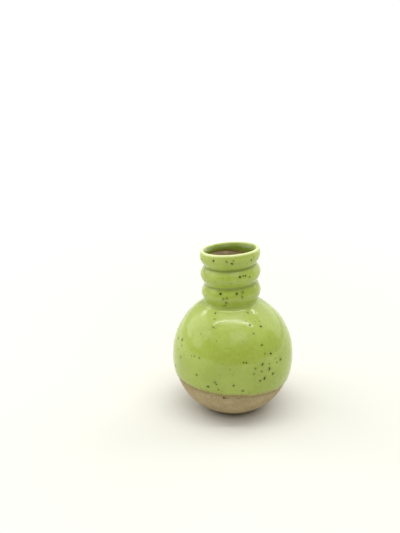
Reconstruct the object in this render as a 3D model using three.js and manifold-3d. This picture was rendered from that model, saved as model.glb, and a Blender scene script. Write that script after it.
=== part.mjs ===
// A small hand-thrown stoneware bud vase: a round belly on a narrow bare foot, and a neck of
// three stacked bulging rings that leans a little to one side.
// It is two pieces in close contact: the fired clay body, one thrown wall from the foot to the
// lip, and the skin of green glaze that covers it from a tilted dip line near the foot, over the
// lip, and a short way down inside the mouth.
import * as THREE from "three";
import { mergeVertices } from "three/addons/utils/BufferGeometryUtils.js";
import Module from "manifold-3d";

const wasm = await Module();
wasm.setup();

// ---- Driving dimensions, in millimetres. +Z is up and the foot stands on z = 0. ----

// The belly's outside is two half superellipses that meet at its widest ring.
const BELLY_RADIUS = 32.8;
const BELLY_WIDEST_Z = 30.2;
const BELLY_LOWER_POWER = 2.1;
const BELLY_UPPER_POWER = 2;
const SHOULDER_RISE = 34.2; // height the upper half would reach on the axis

// The neck's rings, from the shoulder to the lip.
const RING_RADII = [15.95, 16.15, 16.05];
const RING_HEIGHTS = [10.9, 9.7, 8.1];
const GROOVE_RADII = [13.6, 13.9, 13.7, 14.25]; // under the rings, between them, and at the lip
const RING_POWER = 1.5; // how the bulge falls away to its grooves
const LIP_POWER = 3; // how squarely the top ring rolls over into the lip

const FOOT_RADIUS = 13;
const FOOT_RECESS_RADIUS = 9;
const FOOT_RECESS_DEPTH = 1.2;

// The inside of the wall.
const WALL = 3.2;
const FLOOR_THICKNESS = 5;
const INNER_NECK_RADIUS = 11.8;
const MOUTH_RADIUS = 13.6;
const LIP_DROP = 1.1; // from the top of the lip down to where the mouth is narrowest at the lip
const MOUTH_TAPER_DEPTH = 7; // below the lip the mouth narrows to the neck over this height

// The neck leans towards -X, and its rings dip on the same side. The lip also dips a little at
// the back, so the top ring is tallest in front, on the -Y side.
const LEAN_START_Z = 50;
const LEAN_FULL_Z = 74;
const NECK_SHIFT = 1.0; // sideways, where the neck leaves the shoulder
const NECK_LEAN = THREE.MathUtils.degToRad(2.5);
const RING_TILT = THREE.MathUtils.degToRad(4.5);
const LIP_TILT_BACK = THREE.MathUtils.degToRad(4);

// The glaze is a skin on the clay. The gap keeps the two solids from sharing a surface.
const GLAZE_THICKNESS = 0.45;
const GLAZE_GAP = 0.1;
const GLAZE_IN_MOUTH = 4.3; // how far below the lip the glaze reaches inside
const DIP_LINE_Z = 18.6; // height of the glaze's lower edge on the axis
const DIP_LINE_TILT = THREE.MathUtils.degToRad(2.4); // lower on the +X side
const DIP_LINE_PITCH = THREE.MathUtils.degToRad(2); // lower at the back

const AROUND = 40; // facets around the axis

// ---- Outlines: lists of points with x as radius and y as height. ----

const point = (radius, height) => new THREE.Vector2(radius, height);

// The angle parameter at which a superellipse of unit half-width has narrowed to the share.
const angleAt = (share, power) => Math.acos(Math.pow(share, power / 2));

function superellipse(radius, middle, rise, power, from, to, steps) {
  return Array.from({ length: steps + 1 }, (_, i) => {
    const angle = THREE.MathUtils.lerp(from, to, i / steps);
    const out = Math.pow(Math.cos(angle), 2 / power);
    const up = Math.sign(angle) * Math.pow(Math.abs(Math.sin(angle)), 2 / power);
    return point(radius * out, middle + rise * up);
  });
}

// How far below its widest ring the belly would reach on the axis, for a foot of the given size.
function bellyDrop() {
  const share = Math.pow(FOOT_RADIUS / BELLY_RADIUS, BELLY_LOWER_POWER);
  return BELLY_WIDEST_Z / Math.pow(1 - share, 1 / BELLY_LOWER_POWER);
}

function neckStartZ() {
  const share = Math.pow(GROOVE_RADII[0] / BELLY_RADIUS, BELLY_UPPER_POWER);
  return BELLY_WIDEST_Z + SHOULDER_RISE * Math.pow(1 - share, 1 / BELLY_UPPER_POWER);
}

const NECK_START_Z = neckStartZ();
const LIP_Z = NECK_START_Z + RING_HEIGHTS.reduce((sum, height) => sum + height, 0);
const TOP_RING_Z = LIP_Z - RING_HEIGHTS[RING_HEIGHTS.length - 1];

function bellyOutline() {
  const footAngle = angleAt(FOOT_RADIUS / BELLY_RADIUS, BELLY_LOWER_POWER);
  const neckAngle = angleAt(GROOVE_RADII[0] / BELLY_RADIUS, BELLY_UPPER_POWER);
  const lower = superellipse(
    BELLY_RADIUS, BELLY_WIDEST_Z, bellyDrop(), BELLY_LOWER_POWER, -footAngle, 0, 9);
  const upper = superellipse(
    BELLY_RADIUS, BELLY_WIDEST_Z, SHOULDER_RISE, BELLY_UPPER_POWER, 0, neckAngle, 10);
  return [...lower, ...upper.slice(1)];
}

// One bulge: it starts in the groove below and ends in the one above, or rolls over into the lip.
function ringOutline(index, baseZ) {
  const half = RING_HEIGHTS[index] / 2;
  const isTop = index === RING_HEIGHTS.length - 1;
  const levels = isTop ? [-0.67, -0.33, 0, 0.4, 0.7, 0.88, 0.97, 1] : [-0.67, -0.33, 0, 0.33, 0.67, 1];
  return levels.map((across) => {
    const groove = GROOVE_RADII[across < 0 ? index : index + 1];
    const rolled = 1 - Math.pow(1 - Math.pow(Math.abs(across), LIP_POWER), 1 / LIP_POWER);
    const share = isTop && across > 0 ? rolled : Math.pow(Math.abs(across), RING_POWER);
    const fall = (RING_RADII[index] - groove) * share;
    return point(RING_RADII[index] - fall, baseZ + half + half * across);
  });
}

function neckOutline() {
  let baseZ = NECK_START_Z;
  return RING_HEIGHTS.flatMap((height, index) => {
    const outline = ringOutline(index, baseZ);
    baseZ += height;
    return outline;
  });
}

// Over the lip and down to where the mouth has narrowed to the neck.
function mouthOutline() {
  const crest = GROOVE_RADII[GROOVE_RADII.length - 1];
  const roll = [30, 60, 90].map((degrees) => {
    const angle = THREE.MathUtils.degToRad(degrees);
    const across = (crest - MOUTH_RADIUS) * Math.sin(angle);
    return point(crest - across, LIP_Z - LIP_DROP * (1 - Math.cos(angle)));
  });
  const taper = [0.45, 1].map((share) => point(
    THREE.MathUtils.lerp(MOUTH_RADIUS, INNER_NECK_RADIUS, Math.sqrt(share)),
    LIP_Z - THREE.MathUtils.lerp(LIP_DROP, MOUTH_TAPER_DEPTH, share)));
  return [...roll, ...taper];
}

// The bare clay inside: down the neck, which the levels keep true to its lean, and around the
// belly to the middle of the floor.
function hollowOutline() {
  const radius = BELLY_RADIUS - WALL;
  const middle = BELLY_WIDEST_Z;
  const topAngle = angleAt(INNER_NECK_RADIUS / radius, 2);
  const upper = superellipse(radius, middle, SHOULDER_RISE - WALL, 2, topAngle, 0, 6);
  const lower = superellipse(radius, middle, middle - FLOOR_THICKNESS, 2, 0, -Math.PI / 2, 7);
  const neckTop = LIP_Z - MOUTH_TAPER_DEPTH;
  const neck = [1, 2, 3].map((level) => point(
    INNER_NECK_RADIUS, THREE.MathUtils.lerp(neckTop, upper[0].y, level / 4)));
  return [...neck, ...upper, ...lower.slice(1, -1), point(0, FLOOR_THICKNESS)];
}

// The outline moved into the wall, square to itself at each point.
function offsetInwards(outline, distance) {
  return outline.map((here, i) => {
    const before = outline[Math.max(i - 1, 0)];
    const after = outline[Math.min(i + 1, outline.length - 1)];
    const along = new THREE.Vector2().subVectors(after, before).normalize();
    return point(here.x - along.y * distance, here.y + along.x * distance);
  });
}

// ---- Solids ----

// Turns a closed outline about +Z.
function turned(outline) {
  const geometry = new THREE.LatheGeometry(outline, AROUND);
  geometry.rotateX(Math.PI / 2);
  return geometry;
}

// Leans the neck: each level slides sideways and tips, from nothing low on the shoulder.
function leanNeck(geometry) {
  const place = geometry.getAttribute("position");
  for (let i = 0; i < place.count; i++) {
    const x = place.getX(i);
    const y = place.getY(i);
    const z = place.getZ(i);
    const slide = THREE.MathUtils.smoothstep(z, LEAN_START_Z, NECK_START_Z) * NECK_SHIFT;
    const sway = Math.max(z - NECK_START_Z, 0) * Math.tan(NECK_LEAN);
    const tip = THREE.MathUtils.smoothstep(z, LEAN_START_Z, LEAN_FULL_Z) * Math.tan(RING_TILT);
    const lipShare = Math.max(z - TOP_RING_Z, 0) / (LIP_Z - TOP_RING_Z);
    const dip = lipShare * Math.tan(LIP_TILT_BACK);
    place.setX(i, x - slide - sway);
    place.setZ(i, z + x * tip - y * dip);
  }
  return geometry;
}

function solidFrom(geometry) {
  const bare = geometry.index ? geometry.toNonIndexed() : geometry.clone();
  bare.deleteAttribute("normal");
  bare.deleteAttribute("uv");
  const merged = mergeVertices(bare, 1e-4);
  return new wasm.Manifold(new wasm.Mesh({
    numProp: 3,
    vertProperties: merged.getAttribute("position").array,
    triVerts: new Uint32Array(merged.index.array),
  }));
}

function geometryFrom(solid) {
  const mesh = solid.getMesh();
  const geometry = new THREE.BufferGeometry();
  geometry.setAttribute("position", new THREE.BufferAttribute(mesh.vertProperties, 3));
  geometry.setIndex(new THREE.BufferAttribute(mesh.triVerts, 1));
  geometry.computeVertexNormals();
  return geometry;
}

function stonewareBody() {
  const skin = [...bellyOutline(), ...neckOutline(), ...mouthOutline()];
  const clay = offsetInwards(skin, GLAZE_THICKNESS + GLAZE_GAP);
  const footEdge = point(FOOT_RADIUS - GLAZE_THICKNESS, 0);
  const foot = [
    point(0, FOOT_RECESS_DEPTH),
    point(FOOT_RECESS_RADIUS - FOOT_RECESS_DEPTH, FOOT_RECESS_DEPTH),
    point(FOOT_RECESS_RADIUS, 0),
    footEdge,
  ];
  return leanNeck(turned([...foot, ...clay.slice(1), ...hollowOutline()]));
}

function greenGlaze() {
  const wholeSkin = [...bellyOutline(), ...neckOutline(), ...mouthOutline()];
  const skin = wholeSkin.filter((_, i) => i > 0 && !tooDeepInMouth(wholeSkin, i));
  const backing = offsetInwards(wholeSkin, GLAZE_THICKNESS)
    .filter((_, i) => i > 0 && !tooDeepInMouth(wholeSkin, i));
  const shell = leanNeck(turned([...skin, ...backing.reverse(), skin[0]]));
  return geometryFrom(solidFrom(shell).subtract(solidFrom(belowDipLine())));
}

// True for the points of the outline that lie inside the mouth, past the glaze's inner edge.
function tooDeepInMouth(outline, index) {
  const inside = index >= outline.length - mouthOutline().length;
  return inside && outline[index].y < LIP_Z - GLAZE_IN_MOUTH;
}

// A block whose top face is the tilted surface of the glaze bucket when the pot was dipped.
function belowDipLine() {
  const width = 4 * BELLY_RADIUS;
  const height = 2 * BELLY_RADIUS;
  const block = new THREE.BoxGeometry(width, width, height);
  block.translate(0, 0, -height / 2);
  block.rotateY(DIP_LINE_TILT);
  block.rotateX(-DIP_LINE_PITCH);
  block.translate(0, 0, DIP_LINE_Z);
  return block;
}

// ---- The vase ----

const clay = new THREE.MeshStandardMaterial({ color: 0xb09a80, roughness: 0.85, metalness: 0 });
const glaze = new THREE.MeshStandardMaterial({ color: 0x9fb45a, roughness: 0.2, metalness: 0 });

function named(name, geometry, material) {
  const mesh = new THREE.Mesh(geometry, material);
  mesh.name = name;
  return mesh;
}

const vase = new THREE.Group();
vase.add(named("stoneware_body", stonewareBody(), clay));
vase.add(named("green_glaze", greenGlaze(), glaze));

export default vase;
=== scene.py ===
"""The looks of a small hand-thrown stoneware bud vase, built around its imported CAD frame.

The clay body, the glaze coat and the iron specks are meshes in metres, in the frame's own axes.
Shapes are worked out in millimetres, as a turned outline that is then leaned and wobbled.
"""

import math
import random

import bpy
import numpy as np
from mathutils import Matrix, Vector


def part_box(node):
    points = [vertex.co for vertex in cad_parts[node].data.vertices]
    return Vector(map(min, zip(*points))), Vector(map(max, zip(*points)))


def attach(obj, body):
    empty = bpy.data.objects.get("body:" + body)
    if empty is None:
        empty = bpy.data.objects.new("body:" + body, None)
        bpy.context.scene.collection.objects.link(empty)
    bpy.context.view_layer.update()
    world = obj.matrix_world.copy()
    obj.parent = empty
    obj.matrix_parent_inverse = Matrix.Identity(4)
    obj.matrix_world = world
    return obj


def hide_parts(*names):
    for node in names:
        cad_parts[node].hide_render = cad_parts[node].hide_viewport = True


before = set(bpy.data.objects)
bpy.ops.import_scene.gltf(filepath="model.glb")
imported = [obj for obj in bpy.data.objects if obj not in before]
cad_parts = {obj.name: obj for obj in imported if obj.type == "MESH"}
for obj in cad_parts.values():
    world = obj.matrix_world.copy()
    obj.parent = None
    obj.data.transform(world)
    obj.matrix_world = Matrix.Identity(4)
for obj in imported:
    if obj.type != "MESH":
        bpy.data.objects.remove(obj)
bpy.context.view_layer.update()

# ---- Driving sizes. Lengths are in millimetres, turned into metres when a mesh is made. ----

MM = 0.001
GLAZE_LOW, GLAZE_HIGH = (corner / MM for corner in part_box("green_glaze"))

BELLY_RADIUS = (GLAZE_HIGH.x - GLAZE_LOW.x) / 2
BELLY_WIDEST_Z = 30.2
BELLY_LOWER_POWER = 2.1
BELLY_UPPER_POWER = 2.0
SHOULDER_RISE = 34.2

RING_RADII = (15.95, 16.15, 16.05)
RING_HEIGHTS = (10.9, 9.7, 8.1)
GROOVE_RADII = (13.6, 13.9, 13.7, 14.25)
RING_POWER = 1.5
LIP_POWER = 3  # how squarely the top ring rolls over into the lip

FOOT_RADIUS = 13.0
FOOT_EDGE_ROUNDING = 0.4
FOOT_RECESS_RADIUS = 9.0
FOOT_RECESS_DEPTH = 1.2
WALL = 3.2
FLOOR_THICKNESS = 5.0
INNER_NECK_RADIUS = 11.8
MOUTH_RADIUS = 13.6
LIP_DROP = 1.1
MOUTH_TAPER_DEPTH = 7.0

LEAN_START_Z = 50.0
LEAN_FULL_Z = 74.0
NECK_SHIFT = 1.0
NECK_LEAN = math.tan(math.radians(2.5))
RING_TILT = math.tan(math.radians(4.5))
LIP_TILT_BACK = math.tan(math.radians(4))
STEADY_RADIUS = 10.0  # the wall wobbles less nearer to the axis than this
STEADY_HEIGHT = 4.0  # and nearer to the table than this
TRIMMED_BACK = 0.16  # keeps the wobbly wall inside the CAD box

GLAZE_THICKNESS = 0.47
GLAZE_IN_MOUTH = 4.3
GLAZE_EDGE_ROLL = 1.8  # the coat thins to nothing over this distance from its edge
EDGE_BEAD = 0.06  # the coat is this much thicker in a bead along its edge
EDGE_BEAD_DISTANCE = 2.4
EDGE_BEAD_WIDTH = 1.2
GLAZE_SOFTNESS = 0.65  # how far molten glaze has smoothed the grooves
CREASE_SOFTNESS = 1.3  # where it has pooled between the neck and the shoulder
LIP_SOFTNESS = 0.7
FILLET_REACH = 3.0  # how far these two are felt along the outline
CLAY_SOFTNESS = 0.35
JOIN_SOFTNESS = 0.15  # where the clay's foot, skin and hollow meet
POOL_WIDTH = 1.5  # grooves up to about this size gather glaze, and are painted darker, partly as shade
CLAY_CLEARANCE = 0.03  # from the clay to the back of the glaze
CLAY_SINKS_FROM_Z = 2.0  # the clay goes down below the glaze between here and the dip line
MOUTH_RUN_TURN = math.radians(115)  # where a thick run reaches deepest inside the mouth
MOUTH_RUN_DEPTH = 3.2
MOUTH_RUN_SPREAD = 0.9  # radians
NECK_BEAD = 0.15  # a low ridge of glaze on the shoulder, around the neck
NECK_BEAD_WIDTH = 0.6
NECK_BEAD_BELOW = 1.4
SHADE_IN_MOUTH = 0.5  # painted shade: the glaze inside the mouth is darkened as much as in a groove this deep
STAIN_WIDTH = 1.3  # how far the glaze has tinted the clay below it
STAINED_RADIUS = BELLY_RADIUS - 8  # only the wide part of the wall is tinted
DIP_LINE_Z = 18.6
DIP_LINE_RADIUS = BELLY_RADIUS - 2
DIP_LINE_TILT = math.tan(math.radians(2.4))
DIP_LINE_PITCH = math.tan(math.radians(2))
DIP_LINE_FADE = 20.0  # the waves of the dip line die out this far up the glaze
MOUTH_LINE_FADE = 4.0

OUTLINE_STEP = 0.05
TURNS = 360  # facets around the glaze
ROW_STEP = 0.5  # between rows of glaze facets, away from the edges
BACK_ROWS = 44
BEAD_ROWS = 15
CLAY_TURNS = 256
CLAY_ROWS = (110, 70, 140)  # up to above the dip line, up to the lip, and down the inside
AXIS_MARGIN = 0.5  # the last row of clay is this far from the axis, and a fan closes the rest
SPECK_TURNS = 14

# Where specks gather: degrees around from the front (-Y) towards +X, height, the spread of each,
# and how many.
SPECK_GROUPS = (
    (32, 34, 13, 6, 16),  # right side of the belly
    (-45, 37, 13, 4, 9),  # left side of the belly
    (-3, 25, 14, 3, 6),  # low on the front
    (0, 18, 18, 0.8, 7),  # along the dip line
    (26, 52, 5, 5, 5),  # right of the shoulder
    (-30, 57, 5, 2, 3),  # left of the shoulder
    (-15, 66, 6, 2.5, 7),  # foot of the neck, on the left
    (20, 67, 4, 2, 3),  # foot of the neck, on the right
    (30, 78, 6, 1, 4),  # middle ring
    (8, 86, 20, 1.2, 5),  # top ring
)
DARK_SHARE = 0.65
SPECK_WIDTHS = (0.7, 1.3)
PALE = 0.45  # how strongly a speck shows when it lies deep in the glaze
SPECK_SEED = 7
RANDOM_SPECKS = 300
SMALLEST_SPECK, LARGEST_SPECK = 0.3, 1.1
LARGEST_IN_FRONT = 0.55
FRONT_SHARE = 0.45  # a speck whose turn has a larger cosine than this is in front
LOWEST_SPECK_Z = 3.0
BELOW_LIP = 1.5  # specks stay this far below the lip
GLAZE_EDGE_MARGIN = 0.4  # a speck nearer to the glaze's edge than this sits on the clay
HALO_REACH = 0.75  # how far iron bleeds out, as a share of the speck's width

# A speck's rings from its middle outwards, then underneath: (share of its width, lift).
SPECK_RINGS = ((0.0, 0.030), (0.55, 0.024), (0.9, 0.008), (1.0, -0.02), (0.0, -0.08))

# Brightness of the studio by direction: (0 in front to 1 behind, brightness).
LOW_LIGHT = ((0.0, 0.05), (0.30, 0.10), (0.52, 0.32), (0.68, 0.62), (0.85, 0.72), (1.0, 0.5))
MIDDLE_LIGHT = ((0.0, 0.7), (0.2, 0.75), (0.32, 0.8), (0.68, 0.9), (0.88, 0.9), (1.0, 0.5))
TOP_LIGHT = 2.1
BACKDROP = 1.0  # what the camera sees behind the floor

LOW_TO_MIDDLE = (0.40, 0.65)  # where one brightness passes into the next, by the sine of the
MIDDLE_TO_TOP = (0.86, 0.97)  # direction's height above the horizon

# The long strip of light over the vase, in metres.
STRIP_PLACE = (0, -0.12, 0.58)
STRIP_SIZE = (0.75, 0.05)
STRIP_GLOW = 7.5

# Panels of light: degrees around from the front towards +X, degrees up, size in metres, and glow.
PANEL_DISTANCE = 0.9
PANELS = (
    ("front_window", 17, 50, (0.45, 0.3), 1.3),
    ("left_softbox", -96, 32, (1.0, 0.6), 1.4),
    ("right_softbox", 132, 30, (0.9, 0.7), 0.9),
    ("left_lamp", -126, 42, (0.16, 0.10), 3.5),
    ("right_lamp", 124, 55, (0.09, 0.06), 14.0),
    ("right_lamp_small", 121, 51, (0.03, 0.03), 14.0),
)

# The camera, in metres and degrees.
CAMERA_BACK = 0.3883
CAMERA_HEIGHT = 0.2137
CAMERA_TILT_DOWN = 19.05
CAMERA_TURN_LEFT = 2.62
CAMERA_LENS = 52.7  # millimetres, on a sensor 36 mm wide
FLOOR_HALF_WIDTH = 80.0  # metres, so that its far edge is out of sight


def smooth_step(value, start, end):
    """0 below start, 1 above end, and a smooth rise between them."""
    share = np.clip((value - start) / (end - start), 0, 1)
    return share * share * (3 - 2 * share)


# ---- Outlines: (radius, height) pairs, from the foot up the outside and down the inside. ----


def superellipse(radius, middle, rise, power, start, end, steps=120):
    angle = np.linspace(start, end, steps)
    out = np.clip(np.cos(angle), 0, 1) ** (2 / power)
    up = np.sign(angle) * np.abs(np.sin(angle)) ** (2 / power)
    return np.stack([radius * out, middle + rise * up], axis=1)


def angle_at(share, power):
    """The angle at which a superellipse has narrowed to this share of its width."""
    return math.acos(share ** (power / 2))


def belly_outline():
    foot_share = (FOOT_RADIUS / BELLY_RADIUS) ** BELLY_LOWER_POWER
    drop = BELLY_WIDEST_Z / (1 - foot_share) ** (1 / BELLY_LOWER_POWER)
    foot_angle = angle_at(FOOT_RADIUS / BELLY_RADIUS, BELLY_LOWER_POWER)
    neck_angle = angle_at(GROOVE_RADII[0] / BELLY_RADIUS, BELLY_UPPER_POWER)
    lower = superellipse(
        BELLY_RADIUS, BELLY_WIDEST_Z, drop, BELLY_LOWER_POWER, -foot_angle, 0)
    upper = superellipse(
        BELLY_RADIUS, BELLY_WIDEST_Z, SHOULDER_RISE, BELLY_UPPER_POWER, 0, neck_angle)
    return np.concatenate([lower, upper[1:]])


BELLY = belly_outline()
NECK_START_Z = BELLY[-1][1]
LIP_Z = NECK_START_Z + sum(RING_HEIGHTS)
TOP_RING_Z = LIP_Z - RING_HEIGHTS[-1]


def neck_outline():
    rings = []
    base = NECK_START_Z
    for index, height in enumerate(RING_HEIGHTS):
        across = np.linspace(-1, 1, 61)[1:]
        groove = np.where(across < 0, GROOVE_RADII[index], GROOVE_RADII[index + 1])
        share = np.abs(across) ** RING_POWER
        if index == len(RING_HEIGHTS) - 1:
            rolled = 1 - (1 - np.abs(across) ** LIP_POWER) ** (1 / LIP_POWER)
            share = np.where(across > 0, rolled, share)
        fall = (RING_RADII[index] - groove) * share
        level = base + height / 2 * (1 + across)
        rings.append(np.stack([RING_RADII[index] - fall, level], axis=1))
        base += height
    return np.concatenate(rings)


def mouth_outline():
    crest = GROOVE_RADII[-1]
    angle = np.radians(np.linspace(0, 90, 16)[1:])
    roll = np.stack([
        crest - (crest - MOUTH_RADIUS) * np.sin(angle),
        LIP_Z - LIP_DROP * (1 - np.cos(angle))], axis=1)
    share = np.linspace(0, 1, 20)[1:]
    taper = np.stack([
        MOUTH_RADIUS + (INNER_NECK_RADIUS - MOUTH_RADIUS) * np.sqrt(share),
        LIP_Z - LIP_DROP - (MOUTH_TAPER_DEPTH - LIP_DROP) * share], axis=1)
    return np.concatenate([roll, taper])


def hollow_outline():
    radius = BELLY_RADIUS - WALL
    top_angle = angle_at(INNER_NECK_RADIUS / radius, 2)
    upper = superellipse(radius, BELLY_WIDEST_Z, SHOULDER_RISE - WALL, 2, top_angle, 0)
    lower = superellipse(
        radius, BELLY_WIDEST_Z, BELLY_WIDEST_Z - FLOOR_THICKNESS, 2, 0, -math.pi / 2)
    return np.concatenate([upper, lower[1:-1], [[0.0, FLOOR_THICKNESS]]])


def foot_outline():
    """The underside: a shallow recess with sloping sides, and the ring that the vase stands on."""
    return np.array([
        [0.0, FOOT_RECESS_DEPTH],
        [FOOT_RECESS_RADIUS - FOOT_RECESS_DEPTH, FOOT_RECESS_DEPTH],
        [FOOT_RECESS_RADIUS, 0.0],
        [FOOT_RADIUS - FOOT_EDGE_ROUNDING, 0.0]])


class Outline:
    """A smoothed outline, read by the distance along the unsmoothed points."""

    def __init__(self, points, softness, fillets=()):
        """fillets lists (height, softness) for places that have a softness of their own."""
        steps = np.hypot(*np.diff(points, axis=0).T)
        along = np.concatenate([[0], np.cumsum(steps)])
        self.length = along[-1]
        self.along = np.linspace(0, self.length, int(self.length / OUTLINE_STEP))
        sharp_radius = np.interp(self.along, along, points[:, 0])
        sharp_height = np.interp(self.along, along, points[:, 1])
        self.radius = self.soften(sharp_radius, softness)
        self.height = self.soften(sharp_height, softness)
        for level, wide in fillets:
            middle = self.along[np.argmin(np.abs(sharp_height - level))]
            share = np.exp(-(((self.along - middle) / FILLET_REACH) ** 2))
            self.radius += share * (self.soften(sharp_radius, wide) - self.radius)
            self.height += share * (self.soften(sharp_height, wide) - self.height)
        slope_r = np.gradient(self.radius)
        slope_z = np.gradient(self.height)
        size = np.hypot(slope_r, slope_z)
        self.normal_r = slope_z / size
        self.normal_z = -slope_r / size

    @staticmethod
    def soften(values, softness):
        """A Gaussian blur that leaves both ends where they are."""
        reach = int(4 * softness / OUTLINE_STEP)
        offsets = np.arange(-reach, reach + 1) * OUTLINE_STEP
        weights = np.exp(-0.5 * (offsets / softness) ** 2)
        before = 2 * values[0] - values[reach:0:-1]
        after = 2 * values[-1] - values[-2:-reach - 2:-1]
        padded = np.concatenate([before, values, after])
        return np.convolve(padded, weights / weights.sum(), mode="valid")

    def read(self, name, distance):
        return np.interp(distance, self.along, getattr(self, name))

    def offset_points(self, out):
        return np.stack([
            self.radius + self.normal_r * out,
            self.height + self.normal_z * out], axis=1)

    def distance_at_height(self, height, start, end):
        """Where the outline rises through a height, between two distances along it."""
        part = (self.along >= start) & (self.along <= end)
        return np.interp(height, self.height[part], self.along[part])


SKIN_POINTS = np.concatenate([BELLY, neck_outline(), mouth_outline()])
FILLETS = ((NECK_START_Z, CREASE_SOFTNESS), (LIP_Z, LIP_SOFTNESS))
SKIN = Outline(SKIN_POINTS, GLAZE_SOFTNESS, FILLETS)
LEVELLED = Outline(SKIN_POINTS, POOL_WIDTH)
CLAY_SKIN = Outline(SKIN_POINTS, CLAY_SOFTNESS, FILLETS)
UNDER_GLAZE = GLAZE_THICKNESS * smooth_step(CLAY_SKIN.height, CLAY_SINKS_FROM_Z, DIP_LINE_Z)
ROUNDED_STEPS = round(FOOT_EDGE_ROUNDING / OUTLINE_STEP)
CLAY = Outline(np.concatenate([
    foot_outline(),
    CLAY_SKIN.offset_points(-UNDER_GLAZE)[ROUNDED_STEPS:],
    hollow_outline()]), JOIN_SOFTNESS)
LIP_DISTANCE = SKIN.along[np.argmax(SKIN.height)]
NECK_DISTANCE = SKIN.distance_at_height(NECK_START_Z, 0, LIP_DISTANCE)
NECK_BEAD_DISTANCE = NECK_DISTANCE - NECK_BEAD_BELOW


# ---- The hand of the potter: lean, wobble and dip line. ----


def wobble(turn, height):
    """How far the wall strays outwards from a true circle."""
    oval = 0.08 * np.sin(2 * turn + 0.6) + 0.05 * np.sin(3 * turn + 2.1 + 0.03 * height)
    spiral = 0.008 * np.sin(2 * math.pi * height / 3.3 - turn)
    dents = 0.03 * np.sin(5 * turn + 0.21 * height) * np.sin(0.17 * height + 1.0)
    return oval + spiral + dents - TRIMMED_BACK


def lean(x, y, z):
    slide = smooth_step(z, LEAN_START_Z, NECK_START_Z) * NECK_SHIFT
    sway = np.maximum(z - NECK_START_Z, 0) * NECK_LEAN
    tip = smooth_step(z, LEAN_START_Z, LEAN_FULL_Z) * RING_TILT
    dip = np.maximum(z - TOP_RING_Z, 0) / (LIP_Z - TOP_RING_Z) * LIP_TILT_BACK
    return np.stack([x - slide - sway, y, z + x * tip - y * dip], axis=-1)


def place(outline, turn, distance, out):
    """Points on the turned outline. turn is 0 at the front and grows towards +X."""
    height = outline.read("height", distance)
    radius = outline.read("radius", distance)
    spread = np.clip(radius / STEADY_RADIUS, 0, 1) * np.clip(height / STEADY_HEIGHT, 0, 1)
    radius = radius + outline.read("normal_r", distance) * out + wobble(turn, height) * spread
    height = height + outline.read("normal_z", distance) * out
    return lean(radius * np.sin(turn), -radius * np.cos(turn), height)


def dip_line_distance(turn):
    """Where the glaze starts, along the outline: a tilted plane with small runs in it."""
    x = DIP_LINE_RADIUS * np.sin(turn)
    y = -DIP_LINE_RADIUS * np.cos(turn)
    runs = (0.35 * np.sin(2 * turn + 2.6) + 0.22 * np.sin(5 * turn + 0.9)
            + 0.12 * np.sin(11 * turn + 0.4) + 0.06 * np.sin(23 * turn + 2.0))
    height = DIP_LINE_Z - x * DIP_LINE_TILT - y * DIP_LINE_PITCH + runs
    return SKIN.distance_at_height(height, 0, NECK_DISTANCE)


def mouth_line_distance(turn):
    """Where the glaze ends inside the mouth."""
    past_run = np.abs((turn - MOUTH_RUN_TURN + math.pi) % (2 * math.pi) - math.pi)
    runs = (MOUTH_RUN_DEPTH * np.exp(-((past_run / MOUTH_RUN_SPREAD) ** 2))
            + 0.20 * np.sin(4 * turn + 2.2) + 0.08 * np.sin(9 * turn))
    return LIP_DISTANCE + LIP_DROP + GLAZE_IN_MOUTH + runs


def coat_thickness(from_edge):
    """The coat's thickness by distance from its edge: rounded off, with a thicker bead."""
    roll = np.clip(from_edge / GLAZE_EDGE_ROLL, 0, 1)
    past_bead = (from_edge - EDGE_BEAD_DISTANCE) / EDGE_BEAD_WIDTH
    bead = EDGE_BEAD * np.exp(-(past_bead ** 2))
    return (GLAZE_THICKNESS + bead) * np.sqrt(1 - (1 - roll) ** 2)


def neck_bead(along):
    """Glaze that has run off the neck and gathered around the shoulder."""
    return NECK_BEAD * np.exp(-(((along - NECK_BEAD_DISTANCE) / NECK_BEAD_WIDTH) ** 2))


# ---- Meshes ----


def new_piece(name, points, faces):
    mesh = bpy.data.meshes.new(name)
    mesh.from_pydata((points * MM).tolist(), [], faces)
    mesh.polygons.foreach_set("use_smooth", [True] * len(mesh.polygons))
    mesh.update()
    piece = bpy.data.objects.new(name, mesh)
    bpy.context.scene.collection.objects.link(piece)
    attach(piece, "root")
    return piece


def add_field(piece, name, values):
    """Stores one number per vertex for the materials to read."""
    field = piece.data.attributes.new(name, "FLOAT", "POINT")
    field.data.foreach_set("value", np.asarray(values, np.float32).ravel())


def band_faces(rows, columns, closed=False):
    """Quads between rows of points that run all the way around."""
    faces = []
    for row in range(rows if closed else rows - 1):
        low = row * columns
        high = (row + 1) % rows * columns
        for column in range(columns):
            after = (column + 1) % columns
            faces.append((low + column, low + after, high + after, high + column))
    return faces


def graded(start, end, step, edge_step=0.07, edge_width=1.4):
    """Distances from start to end, close together near both ends."""
    edge = np.arange(0, edge_width, edge_step)
    middle = np.linspace(start + edge_width, end - edge_width, int((end - start) / step))
    return np.concatenate([start + edge, middle, (end - edge)[::-1]])


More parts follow.
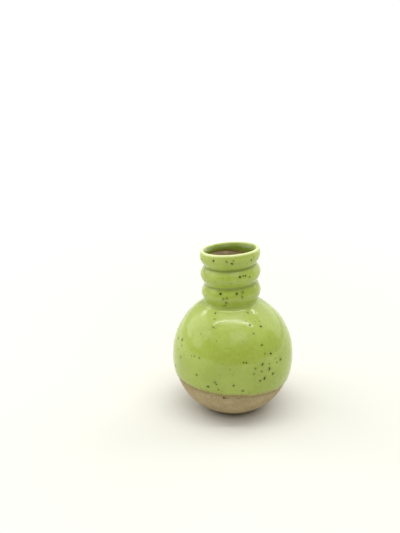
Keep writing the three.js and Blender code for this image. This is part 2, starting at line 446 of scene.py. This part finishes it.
def make_glaze():
    turn = np.linspace(0, 2 * math.pi, TURNS, endpoint=False)
    low_line = dip_line_distance(turn)
    high_line = mouth_line_distance(turn)
    low, high = low_line.mean(), high_line.mean()

    def sheet(distances, from_back):
        """Rows that follow the wavy edges at both ends and are level between them."""
        near_low = np.clip(1 - (distances - low) / DIP_LINE_FADE, 0, 1)[:, None] ** 2
        near_high = np.clip(1 - (high - distances) / MOUTH_LINE_FADE, 0, 1)[:, None] ** 2
        along = (distances[:, None] + near_low * (low_line - low)
                 + near_high * (high_line - high))
        from_edge = np.minimum(distances - low, high - distances)[:, None]
        if from_back:
            coat = CLAY_CLEARANCE + 0 * along
        else:
            coat = np.maximum(coat_thickness(from_edge) + neck_bead(along), CLAY_CLEARANCE)
        return along, from_edge + 0 * along, coat

    bead_rows = NECK_BEAD_DISTANCE + np.linspace(-2, 2, BEAD_ROWS) * NECK_BEAD_WIDTH
    front = sheet(np.sort(np.concatenate([graded(low, high, ROW_STEP), bead_rows])), False)
    back = sheet(np.linspace(high, low, BACK_ROWS)[1:-1], True)
    along, from_edge, coat = (np.concatenate(pair) for pair in zip(front, back))
    points = place(SKIN, turn[None, :], along, coat - GLAZE_THICKNESS)
    faces = band_faces(len(along), TURNS, closed=True)
    piece = new_piece("glaze_coat", points.reshape(-1, 3), faces)

    # How deep the glaze lies in a groove, where it gathers and looks darker, plus painted shade
    # all over the inside of the mouth
    in_groove = ((LEVELLED.radius - SKIN.radius) * SKIN.normal_r
                 + (LEVELLED.height - SKIN.height) * SKIN.normal_z)
    inside = smooth_step(along, LIP_DISTANCE + 0.3, LIP_DISTANCE + 1.8)
    pool_and_shade = np.interp(along, SKIN.along, in_groove) + SHADE_IN_MOUTH * inside
    add_field(piece, "pool_and_shade", pool_and_shade)
    add_field(piece, "from_edge", from_edge * (1 + inside))  # a tighter edge inside the mouth
    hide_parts("green_glaze")
    return piece


def glaze_stain(points):
    """1 on the clay at the glaze line, fading out below it."""
    turn = np.arctan2(points[:, 0], -points[:, 1])
    line = SKIN.read("height", dip_line_distance(turn))
    wide = np.hypot(points[:, 0], points[:, 1]) > STAINED_RADIUS
    return wide * np.exp(-(((points[:, 2] - line) / STAIN_WIDTH) ** 2))


def make_clay():
    turn = np.linspace(0, 2 * math.pi, CLAY_TURNS, endpoint=False)
    past_line = dip_line_distance(turn).max() + FOOT_RADIUS + 1
    lip = CLAY.along[np.argmax(CLAY.height)]
    stops = (AXIS_MARGIN, past_line, lip, CLAY.length - AXIS_MARGIN)
    spans = [np.linspace(start, stop, rows)
             for start, stop, rows in zip(stops, stops[1:], CLAY_ROWS)]
    distances = np.unique(np.concatenate(spans))
    points = place(CLAY, turn[None, :], distances[:, None], 0).reshape(-1, 3)
    foot_middle = [[0, 0, FOOT_RECESS_DEPTH]]
    floor_middle = [[0, 0, FLOOR_THICKNESS]]
    points = np.concatenate([points, foot_middle, floor_middle])
    rows = len(distances)
    faces = band_faces(rows, CLAY_TURNS)
    last = (rows - 1) * CLAY_TURNS
    for column in range(CLAY_TURNS):
        after = (column + 1) % CLAY_TURNS
        faces.append((after, column, rows * CLAY_TURNS))
        faces.append((last + column, last + after, rows * CLAY_TURNS + 1))
    piece = new_piece("thrown_body", points, faces)
    add_field(piece, "stain", glaze_stain(points))
    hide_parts("stoneware_body")
    return piece


# ---- Iron specks ----


def speck_seat(turn, height):
    """The surface that a speck sits on: the distance along the skin and its lift."""
    distance = SKIN.distance_at_height(height, 0, LIP_DISTANCE)
    on_glaze = distance > dip_line_distance(turn) + GLAZE_EDGE_MARGIN
    return float(distance), (0.0 if on_glaze else -GLAZE_THICKNESS)


def speck_points(turn, height, width, dice):
    """A flat, uneven lens, seated just proud of the surface."""
    distance, lift = speck_seat(turn, height)
    radius = float(SKIN.read("radius", distance))
    angle = np.linspace(0, 2 * math.pi, SPECK_TURNS, endpoint=False)
    two, three, spin = (dice.uniform(0, 2 * math.pi) for _ in range(3))
    stretch = dice.uniform(1.0, 1.5)
    edge = width / 2 * (1 + 0.16 * np.sin(2 * angle + two) + 0.12 * np.sin(3 * angle + three))
    across = edge * np.cos(angle) * stretch
    up = edge * np.sin(angle) / stretch
    sideways = across * math.cos(spin) - up * math.sin(spin)
    upwards = across * math.sin(spin) + up * math.cos(spin)
    rings = []
    for share, out in SPECK_RINGS:
        spots = place(
            SKIN, turn + sideways * share / radius, distance + upwards * share, lift + out)
        rings.append(spots[:1] if share == 0 else spots)
    return np.concatenate(rings)


def speck_faces(first):
    """A fan over the top, two bands down the side and a fan underneath."""
    faces = []
    rim = first + 1 + 2 * SPECK_TURNS
    bottom = rim + SPECK_TURNS
    for column in range(SPECK_TURNS):
        after = (column + 1) % SPECK_TURNS
        faces.append((first, first + 1 + column, first + 1 + after))
        for inner in (first + 1, first + 1 + SPECK_TURNS):
            outer = inner + SPECK_TURNS
            faces.append((inner + column, outer + column, outer + after, inner + after))
        faces.append((rim + after, rim + column, bottom))
    return faces


def speck_list():
    """Every speck as (turn, height, width, strength)."""
    dice = random.Random(SPECK_SEED)
    specks = []
    for turn, height, turn_spread, height_spread, count in SPECK_GROUPS:
        for _ in range(count):
            specks.append((
                math.radians(dice.gauss(turn, turn_spread)),
                min(dice.gauss(height, height_spread), LIP_Z - BELOW_LIP),
                dice.uniform(*SPECK_WIDTHS),
                1.0 if dice.random() < DARK_SHARE else PALE))
    wanted = len(specks) + RANDOM_SPECKS
    while len(specks) < wanted:
        turn = dice.uniform(-math.pi, math.pi)
        height = dice.uniform(LOWEST_SPECK_Z, LIP_Z - BELOW_LIP)
        width = SMALLEST_SPECK + (LARGEST_SPECK - SMALLEST_SPECK) * dice.random() ** 3
        strength = PALE + (1 - PALE) * dice.random()
        radius = float(SKIN.read("radius", speck_seat(turn, height)[0]))
        too_large = math.cos(turn) > FRONT_SHARE and width > LARGEST_IN_FRONT
        if dice.random() * BELLY_RADIUS > radius or too_large:
            continue
        specks.append((turn, height, width, strength))
    return specks


def make_specks(specks):
    dice = random.Random(SPECK_SEED + 1)
    points = []
    faces = []
    strengths = []
    count = 0
    for turn, height, width, strength in specks:
        spots = speck_points(turn, height, width, dice)
        faces += speck_faces(count)
        points.append(spots)
        strengths += [strength] * len(spots)
        count += len(spots)
    piece = new_piece("iron_specks", np.concatenate(points), faces)
    add_field(piece, "strength", strengths)
    return piece


def add_speck_halos(piece, specks):
    """Marks the glaze around each speck, where its iron has bled out."""
    points = np.array([vertex.co for vertex in piece.data.vertices], np.float32) / MM
    halo = np.zeros(len(points), np.float32)
    for turn, height, width, strength in specks:
        distance, lift = speck_seat(turn, height)
        middle = place(SKIN, np.float64(turn), np.float64(distance), lift)
        gap = np.linalg.norm(points - middle.astype(np.float32), axis=1)
        halo = np.maximum(halo, strength * np.exp(-((gap / (HALO_REACH * width)) ** 2)))
    add_field(piece, "halo", halo)


# ---- Materials ----


class Nodes:
    """A node tree, with a short call for each kind of node used here."""

    def __init__(self, tree):
        self.tree = tree

    def node(self, kind, **settings):
        made = self.tree.nodes.new("ShaderNode" + kind)
        for name, value in settings.items():
            setattr(made, name, value)
        return made

    def feed(self, socket, value):
        """Links an output to a socket, or sets the socket to a plain value."""
        if isinstance(value, bpy.types.NodeSocket):
            self.tree.links.new(value, socket)
        else:
            socket.default_value = value

    def ramp(self, value, start, end, low=0.0, high=1.0):
        """A smooth change from low to high as the value goes from start to end."""
        made = self.node("MapRange", interpolation_type="SMOOTHSTEP")
        settings = ("Value", "From Min", "From Max", "To Min", "To Max")
        for name, number in zip(settings, (value, start, end, low, high)):
            self.feed(made.inputs[name], number)
        return made.outputs["Result"]

    def math(self, operation, one, other=0.0):
        made = self.node("Math", operation=operation)
        self.feed(made.inputs[0], one)
        self.feed(made.inputs[1], other)
        return made.outputs["Value"]

    def blend(self, share, one, other):
        """A number between two numbers."""
        made = self.node("Mix", data_type="FLOAT")
        for socket, value in zip(made.inputs, (share, None, one, other)):
            if value is not None:
                self.feed(socket, value)
        return made.outputs[0]

    def curve(self, value, points):
        """A curve through (position, level) points, with positions from 0 to 1."""
        made = self.node("ValToRGB")
        self.feed(made.inputs["Fac"], value)
        stops = made.color_ramp
        stops.interpolation = "EASE"
        while len(stops.elements) < len(points):
            stops.elements.new(0.5)
        for stop, (position, level) in zip(stops.elements, points):
            stop.position = position
            stop.color = (level, level, level, 1)
        return made.outputs["Color"]


class Look(Nodes):
    """A material built from nodes."""

    def __init__(self, name):
        self.material = bpy.data.materials.new(name)
        self.material.use_nodes = True
        super().__init__(self.material.node_tree)
        self.shader = self.tree.nodes["Principled BSDF"]
        self.where = self.node("TexCoord").outputs["Object"]

    def field(self, name):
        return self.node("Attribute", attribute_name=name).outputs["Fac"]

    def noise(self, size, detail=2.0, stretch=(1, 1, 1)):
        """Noise with features of about this size in millimetres."""
        mapped = self.node("Mapping")
        self.feed(mapped.inputs["Vector"], self.where)
        mapped.inputs["Scale"].default_value = stretch
        made = self.node("TexNoise")
        self.feed(made.inputs["Vector"], mapped.outputs["Vector"])
        made.inputs["Scale"].default_value = 1 / (size * MM)
        made.inputs["Detail"].default_value = detail
        return made.outputs["Fac"]

    def dots(self, spacing, radius, share):
        """Round dots in a share of the cells of a 3-D pattern, in millimetres."""
        cells = self.node("TexVoronoi")
        self.feed(cells.inputs["Vector"], self.where)
        cells.inputs["Scale"].default_value = 1 / (spacing * MM)
        chosen = self.node("SeparateColor")
        self.feed(chosen.inputs["Color"], cells.outputs["Color"])
        near = self.ramp(cells.outputs["Distance"], radius / spacing, 0.4 * radius / spacing)
        picked = self.ramp(chosen.outputs["Red"], share, share * 0.8)
        return self.math("MULTIPLY", near, picked)

    def mix(self, share, one, other):
        """A colour between two colours."""
        made = self.node("Mix", data_type="RGBA")
        self.feed(made.inputs["Factor"], share)
        colours = [socket for socket in made.inputs if socket.type == "RGBA"]
        for socket, colour in zip(colours, (one, other)):
            self.feed(socket, colour)
        return next(socket for socket in made.outputs if socket.type == "RGBA")

    def bump(self, height, depth, below=None):
        """Turns a height of 0 to 1 into relief this many millimetres deep."""
        made = self.node("Bump")
        made.inputs["Distance"].default_value = depth * MM
        self.feed(made.inputs["Height"], height)
        if below:
            self.feed(made.inputs["Normal"], below)
        return made.outputs["Normal"]

    def finish(self, colour, roughness, normal, **constants):
        self.feed(self.shader.inputs["Base Color"], colour)
        self.feed(self.shader.inputs["Roughness"], roughness)
        self.feed(self.shader.inputs["Normal"], normal)
        for name, value in constants.items():
            self.shader.inputs[name.replace("_", " ")].default_value = value
        return self.material


def srgb(red, green, blue):
    """A colour given as the eye sees it, from 0 to 255, as linear light."""
    def linear(value):
        share = value / 255
        return share / 12.92 if share <= 0.04045 else ((share + 0.055) / 1.055) ** 2.4
    return (linear(red), linear(green), linear(blue), 1.0)


def glaze_look():
    look = Look("speckled_green_glaze")
    drift = look.ramp(look.noise(16, 3), 0.35, 0.65)
    colour = look.mix(drift, srgb(157, 175, 69), srgb(167, 185, 80))
    mottle = look.ramp(look.noise(1.8, 4), 0.3, 0.7)
    colour = look.mix(look.math("MULTIPLY", mottle, 0.25), colour, srgb(182, 196, 100))
    # Pale cream where the glaze runs thin over the lip and the crests: partly the thin glaze's own
    # colour, partly a painted highlight on the lip's crest
    thin_glaze_and_highlight = look.ramp(look.field("pool_and_shade"), -0.20, -0.55)
    colour = look.mix(thin_glaze_and_highlight, colour, srgb(234, 238, 178))
    # Darker olive where the glaze lies deep in the grooves: partly thicker glaze, partly painted
    # shade; inside the mouth it is painted shade
    pooled_and_shaded = look.ramp(look.field("pool_and_shade"), 0.06, 0.45)
    colour = look.mix(look.math("MULTIPLY", pooled_and_shaded, 0.8), colour, srgb(100, 119, 28))
    fine = look.dots(1.4, 0.17, 0.35)
    colour = look.mix(look.math("MULTIPLY", fine, 0.5), colour, srgb(100, 104, 34))
    faint = look.dots(3.2, 0.36, 0.40)
    colour = look.mix(look.math("MULTIPLY", faint, 0.6), colour, srgb(84, 84, 26))
    colour = look.mix(look.math("MULTIPLY", look.field("halo"), 0.6), colour, srgb(84, 84, 24))
    unevenness = look.ramp(look.noise(1.5), 0.2, 0.8, -1.0, 1.0)
    from_edge = look.math("ADD", look.field("from_edge"), unevenness)
    edge = look.ramp(from_edge, 3.0, 0.3)
    colour = look.mix(edge, colour, srgb(154, 138, 78))
    roughness = look.ramp(look.noise(5, 3), 0.3, 0.7, 0.10, 0.20)
    ripple = look.bump(look.noise(4.5, 2), 0.07)
    skin = look.bump(look.noise(0.9, 2), 0.008, ripple)
    return look.finish(colour, roughness, skin, IOR=1.5)


def clay_look():
    look = Look("bare_buff_clay")
    drift = look.ramp(look.noise(7, 3), 0.35, 0.65)
    colour = look.mix(drift, srgb(177, 160, 118), srgb(194, 175, 133))
    sand = look.ramp(look.noise(0.7, 3), 0.35, 0.65)
    colour = look.mix(look.math("MULTIPLY", sand, 0.55), colour, srgb(150, 131, 100))
    pale = look.dots(1.2, 0.25, 0.40)
    colour = look.mix(look.math("MULTIPLY", pale, 0.5), colour, srgb(206, 190, 160))
    iron = look.dots(1.8, 0.32, 0.35)
    colour = look.mix(look.math("MULTIPLY", iron, 0.7), colour, srgb(76, 58, 36))
    uneven_stain = look.math("MULTIPLY", look.field("stain"), look.ramp(look.noise(1.2), 0.2, 0.6))
    colour = look.mix(look.math("MULTIPLY", uneven_stain, 0.9), colour, srgb(142, 126, 74))
    lines = look.noise(1.0, 2, (0.12, 0.12, 1))
    marks = look.bump(lines, 0.10)
    grit = look.bump(look.noise(0.35, 3), 0.06, marks)
    roughness = look.ramp(look.noise(1.2, 2), 0.3, 0.7, 0.72, 0.92)
    return look.finish(colour, roughness, grit)


def speck_look():
    look = Look("melted_iron")
    patch = look.ramp(look.noise(0.8, 2), 0.35, 0.65)
    colour = look.mix(patch, srgb(36, 34, 10), srgb(62, 54, 20))
    faded = look.math("SUBTRACT", 1.0, look.field("strength"))
    colour = look.mix(faded, colour, srgb(140, 152, 56))
    roughness = look.ramp(look.noise(0.5, 2), 0.3, 0.7, 0.4, 0.6)
    grain = look.bump(look.noise(0.3, 2), 0.02)
    return look.finish(colour, roughness, grain, Specular_IOR_Level=0.2)


def paint(piece, material):
    piece.data.materials.clear()
    piece.data.materials.append(material)


# ---- Stage: floor, light and camera ----


def floor_look():
    """Plain pale card that brightens to white away from the vase."""
    look = Look("pale_floor")
    away = look.node("VectorMath", operation="LENGTH")
    look.feed(away.inputs[0], look.where)
    glow = look.ramp(away.outputs["Value"], 0.08, 1.0, 0.0, 0.5)
    look.feed(look.shader.inputs["Emission Strength"], glow)
    look.shader.inputs["Emission Color"].default_value = (1, 1, 1, 1)
    look.shader.inputs["Base Color"].default_value = (0.75, 0.745, 0.68, 1)
    look.shader.inputs["Roughness"].default_value = 0.9
    look.shader.inputs["Specular IOR Level"].default_value = 0.1
    return look.material


def make_floor():
    half = FLOOR_HALF_WIDTH
    mesh = bpy.data.meshes.new("floor")
    corners = [(-half, -half, 0), (half, -half, 0), (half, half, 0), (-half, half, 0)]
    mesh.from_pydata(corners, [], [(0, 1, 2, 3)])
    floor = bpy.data.objects.new("floor", mesh)
    bpy.context.scene.collection.objects.link(floor)
    mesh.materials.append(floor_look())


def make_world():
    """Soft white light: strong from above, plain from both sides, and weak low in front."""
    world = bpy.data.worlds.new("studio")
    bpy.context.scene.world = world
    world.use_nodes = True
    sky = Nodes(world.node_tree)
    split = sky.node("SeparateXYZ")
    sky.feed(split.inputs["Vector"], sky.node("TexCoord").outputs["Generated"])
    x, y, z = (split.outputs[axis] for axis in "XYZ")
    size = sky.math("ADD", sky.math("ABSOLUTE", x), sky.math("ABSOLUTE", y))
    behind = sky.math("MULTIPLY_ADD", sky.math("DIVIDE", y, size), 0.5)
    behind.node.inputs[2].default_value = 0.5  # 0 in front, 0.5 at the sides, 1 behind
    low = sky.curve(behind, LOW_LIGHT)
    middle = sky.curve(behind, MIDDLE_LIGHT)
    strength = sky.blend(sky.ramp(z, *LOW_TO_MIDDLE), low, middle)
    strength = sky.blend(sky.ramp(z, *MIDDLE_TO_TOP), strength, TOP_LIGHT)
    seen_directly = sky.node("LightPath").outputs["Is Camera Ray"]
    strength = sky.blend(seen_directly, strength, BACKDROP)
    sky.feed(sky.tree.nodes["Background"].inputs["Strength"], strength)
    sky.tree.nodes["Background"].inputs["Color"].default_value = (1, 1, 1, 1)


def add_panel(name, place_at, size, glow):
    """A flat light that faces the vase. glow is its brightness against a white wall's 1."""
    light = bpy.data.lights.new(name, "AREA")
    light.shape = "RECTANGLE"
    light.size, light.size_y = size
    light.energy = glow * math.pi * size[0] * size[1]
    panel = bpy.data.objects.new(name, light)
    bpy.context.scene.collection.objects.link(panel)
    panel.location = place_at
    towards = Vector((0, 0, BELLY_WIDEST_Z * MM)) - panel.location
    panel.rotation_euler = towards.to_track_quat("-Z", "Y").to_euler()


def from_vase(turn, rise):
    """The place of a panel, by degrees around from the front and degrees up."""
    turn = math.radians(turn)
    rise = math.radians(rise)
    level = PANEL_DISTANCE * math.cos(rise)
    return (level * math.sin(turn), -level * math.cos(turn), PANEL_DISTANCE * math.sin(rise))


def make_camera():
    """Eye height and tilt of the photograph, with the vase a little right of the middle."""
    data = bpy.data.cameras.new("camera")
    data.sensor_width = 36
    data.lens = CAMERA_LENS
    camera = bpy.data.objects.new("camera", data)
    bpy.context.scene.collection.objects.link(camera)
    camera.location = (0, -CAMERA_BACK, CAMERA_HEIGHT)
    camera.rotation_euler = (
        math.radians(90 - CAMERA_TILT_DOWN), 0, math.radians(CAMERA_TURN_LEFT))
    bpy.context.scene.camera = camera


# ---- The scene ----

glaze_coat = make_glaze()
thrown_body = make_clay()
speck_places = speck_list()
iron_specks = make_specks(speck_places)
add_speck_halos(glaze_coat, speck_places)
paint(glaze_coat, glaze_look())
paint(thrown_body, clay_look())
paint(iron_specks, speck_look())

make_floor()
make_world()
add_panel("overhead_strip", STRIP_PLACE, STRIP_SIZE, STRIP_GLOW)
for name, turn, rise, size, glow in PANELS:
    add_panel(name, from_vase(turn, rise), size, glow)
make_camera()
bpy.context.scene.view_settings.view_transform = "Standard"
